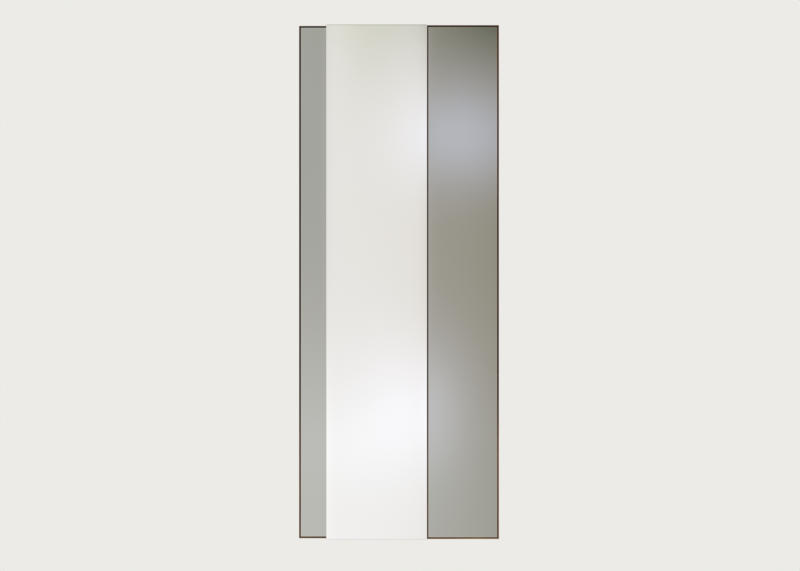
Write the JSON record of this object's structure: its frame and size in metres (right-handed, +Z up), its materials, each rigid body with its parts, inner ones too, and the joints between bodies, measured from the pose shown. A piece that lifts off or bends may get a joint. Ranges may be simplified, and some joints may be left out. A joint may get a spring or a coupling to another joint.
{
  "type": "wall mirror",
  "caption": "Tall layered wall mirror: smoked grey panes in a thin dark wood surround with a raised frameless clear pane in front, hooked on a bevelled wall cleat and lifted off.",
  "frame": {"origin": "on the wall plane, at the middle of the wall cleat's screw line, which is on the mirror's vertical centre line 140 mm below its top edge", "axes": "+X to the right as seen from the room, +Y into the wall, so the mirror faces -Y, +Z up"},
  "size_m": [0.701, 0.059, 1.8],
  "materials": {
    "walnut": "dark brown stained walnut, matt oil",
    "mdf": "raw fibreboard",
    "plywood": "sanded birch plywood",
    "beech": "fluted beech dowel",
    "clear_mirror": "silvered clear float glass, polished edges",
    "grey_mirror": "silvered grey float glass, polished edges",
    "tape": "white foam mirror tape",
    "adhesive": "cured neutral silicone",
    "zinc_screw": "zinc plated",
    "bumper": "matt black rubber"
  },
  "bodies": {
    "wall_mount": {"wall_cleat": "plywood"},
    "mirror": {"hanging_cleat": "plywood", "hanging_cleat_screws": "zinc_screw", "base_board": "mdf", "frame_left_stile": "walnut", "frame_right_stile": "walnut", "frame_top_rail_left": "walnut", "frame_top_rail_right": "walnut", "frame_bottom_rail_left": "walnut", "frame_bottom_rail_right": "walnut", "left_inner_bead": "walnut", "right_inner_bead": "walnut", "back_batten_top": "plywood", "back_batten_bottom": "plywood", "back_batten_left": "plywood", "back_batten_right": "plywood", "batten_screws": "zinc_screw", "grey_mirror_left": "grey_mirror", "grey_mirror_left_tape": "tape", "grey_mirror_left_adhesive": "adhesive", "grey_mirror_right": "grey_mirror", "grey_mirror_right_tape": "tape", "grey_mirror_right_adhesive": "adhesive", "riser_board": "mdf", "riser_screws": "zinc_screw", "carrier_board": "mdf", "carrier_edge_left": "walnut", "carrier_edge_right": "walnut", "carrier_edge_top": "walnut", "carrier_edge_bottom": "walnut", "carrier_dowels": "beech", "carrier_screws": "zinc_screw", "clear_mirror": "clear_mirror", "clear_mirror_tape": "tape", "clear_mirror_adhesive": "adhesive", "wall_bumpers": "bumper"}
  },
  "joints": [
    {"name": "lift_off", "type": "slide", "parent": "wall_mount", "child": "mirror", "axis": [0, 0, 1], "range_m": [0, 0.01]}
  ]
}
